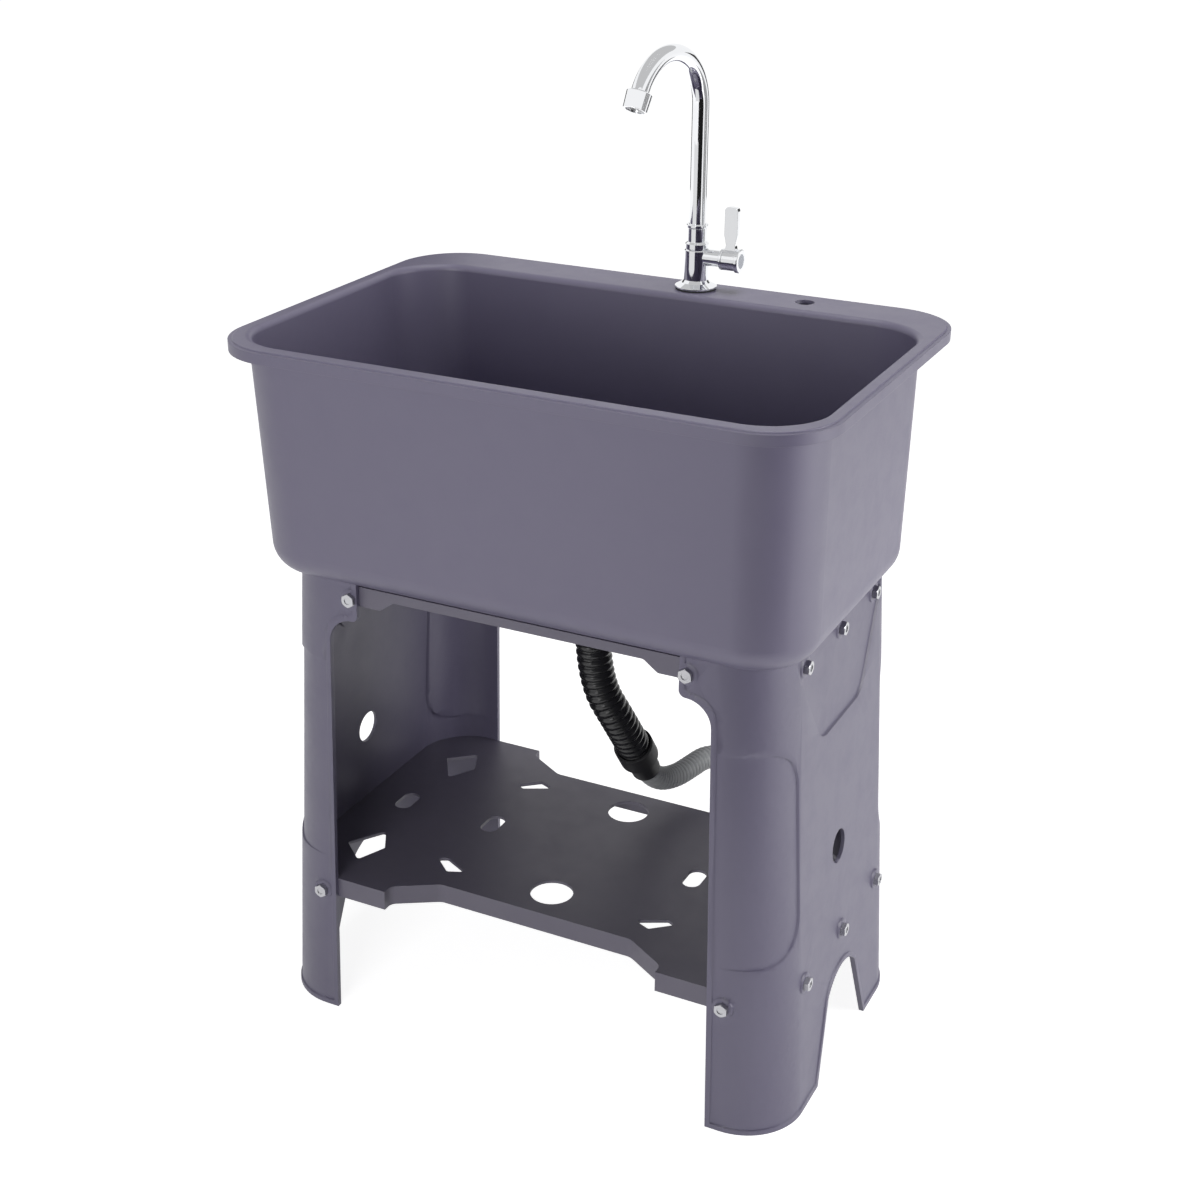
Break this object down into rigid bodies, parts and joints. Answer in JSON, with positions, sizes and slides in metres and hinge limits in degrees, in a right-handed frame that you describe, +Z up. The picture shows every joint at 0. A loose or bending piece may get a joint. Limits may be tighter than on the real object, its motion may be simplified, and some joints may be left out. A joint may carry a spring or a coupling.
{
  "type": "utility laundry sink",
  "caption": "Freestanding utility laundry sink: deep moulded tub on splayed bolted side panels with a low shelf, swivel gooseneck tap with side lever and ribbed drain hose.",
  "frame": {"origin": "on the floor, under the middle of the rim", "axes": "+Z up; the front of the tub faces -Y; +X to the right of someone who stands at the front"},
  "size_m": [0.62, 0.4635, 1.0062],
  "materials": {
    "tub_plastic": "satin moulded polypropylene",
    "panel_plastic": "satin moulded polypropylene",
    "shelf_plastic": "satin moulded polypropylene",
    "zinc_steel": "bright zinc-plated steel",
    "chrome": "mirror chrome plate",
    "black_rubber": "matt",
    "white_plastic": "gloss",
    "dark_hose": "gloss corrugated",
    "grey_hose": "satin corrugated",
    "steel": "brushed stainless",
    "index_plastic": "gloss"
  },
  "bodies": {
    "sink": {"basin": "tub_plastic", "left_side_panel": "panel_plastic", "right_side_panel": "panel_plastic", "front_rail": "panel_plastic", "rear_rail": "panel_plastic", "shelf": "shelf_plastic", "bowl_bolts": "zinc_steel", "bowl_nuts": "zinc_steel", "shelf_side_bolts": "zinc_steel", "shelf_side_nuts": "zinc_steel", "rail_bolts": "zinc_steel", "rail_nuts": "zinc_steel", "shelf_front_bolts": "zinc_steel", "shelf_front_nuts": "zinc_steel", "drain_body": "white_plastic", "drain_gasket": "black_rubber", "drain_lock_nut": "white_plastic", "hose_nut": "white_plastic", "drain_hose_upper": "dark_hose", "hose_sleeve": "black_rubber", "drain_hose_lower": "grey_hose", "hose_end_cuff": "black_rubber", "tap_base_seal": "black_rubber", "tap_body": "chrome", "tap_mount_washer": "black_rubber", "tap_mount_nut": "chrome", "spout_collar": "chrome", "spout_o_ring": "black_rubber", "valve_bonnet": "chrome"},
    "swivel_spout": {"spout": "chrome", "aerator_housing": "chrome", "aerator_mesh": "steel"},
    "lever_handle": {"lever": "chrome", "valve_stem": "chrome", "lever_cap": "chrome", "index_disc": "index_plastic"},
    "strainer": {"strainer_basket": "steel"}
  },
  "joints": [
    {"name": "spout_swivel", "type": "hinge", "parent": "sink", "child": "swivel_spout", "pos_m": [0.0255, 0.187, 0.8], "axis": [0, 0, 1], "continuous": true},
    {"name": "lever_turn", "type": "hinge", "parent": "sink", "child": "lever_handle", "pos_m": [0.064, 0.187, 0.787], "axis": [1, 0, 0], "range_deg": [0, 90]},
    {"name": "strainer_lift", "type": "slide", "parent": "sink", "child": "strainer", "axis": [0, 0, 1], "range_m": [0, 0.06]}
  ]
}
